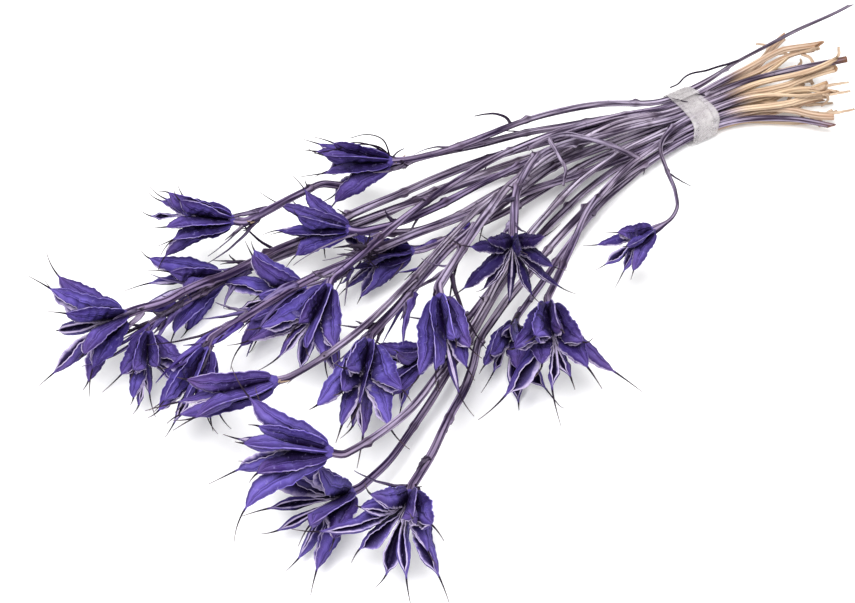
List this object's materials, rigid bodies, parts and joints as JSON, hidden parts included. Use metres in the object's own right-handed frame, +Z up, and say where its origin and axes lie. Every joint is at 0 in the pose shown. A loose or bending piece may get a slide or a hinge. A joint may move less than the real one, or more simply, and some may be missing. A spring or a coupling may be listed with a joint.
{
  "type": "tied bunch of dried nigella seed pods",
  "caption": "Lying bunch of dried, violet-dyed nigella seed pods with ribbed, beaked star heads on slim stems, held by a band of clear tape near the cut ends.",
  "frame": {"origin": "middle of the bunch's outline on the surface it lies on", "axes": "+X from the pods towards the cut ends, +Z up"},
  "size_m": [0.399, 0.216, 0.0967],
  "materials": {
    "pod": "dry papery seed pod, dyed violet blue, pale worn edges",
    "stem": "dry grooved stem, dyed grey mauve, tan at the cut end",
    "tape": "milky clear adhesive tape"
  },
  "bodies": {
    "root": {"pod_01": "pod", "pod_02": "pod", "pod_03": "pod", "pod_04": "pod", "pod_05": "pod", "pod_06": "pod", "pod_07": "pod", "pod_08": "pod", "pod_09": "pod", "pod_10": "pod", "pod_11": "pod", "pod_12": "pod", "pod_13": "pod", "pod_14": "pod", "pod_15": "pod", "pod_16": "pod", "pod_17": "pod", "pod_18": "pod", "pod_19": "pod", "pod_20": "pod", "pod_21": "pod", "stem_01": "stem", "stem_02": "stem", "stem_03": "stem", "stem_04": "stem", "stem_05": "stem", "stem_06": "stem", "stem_07": "stem", "stem_08": "stem", "stem_09": "stem", "stem_10": "stem", "stem_11": "stem", "stem_12": "stem", "stem_13": "stem", "stem_14": "stem", "stem_15": "stem", "stem_16": "stem", "stem_17": "stem", "stem_18": "stem", "stem_19": "stem", "stem_20": "stem", "stem_21": "stem", "tape_band": "tape"}
  },
  "joints": []
}
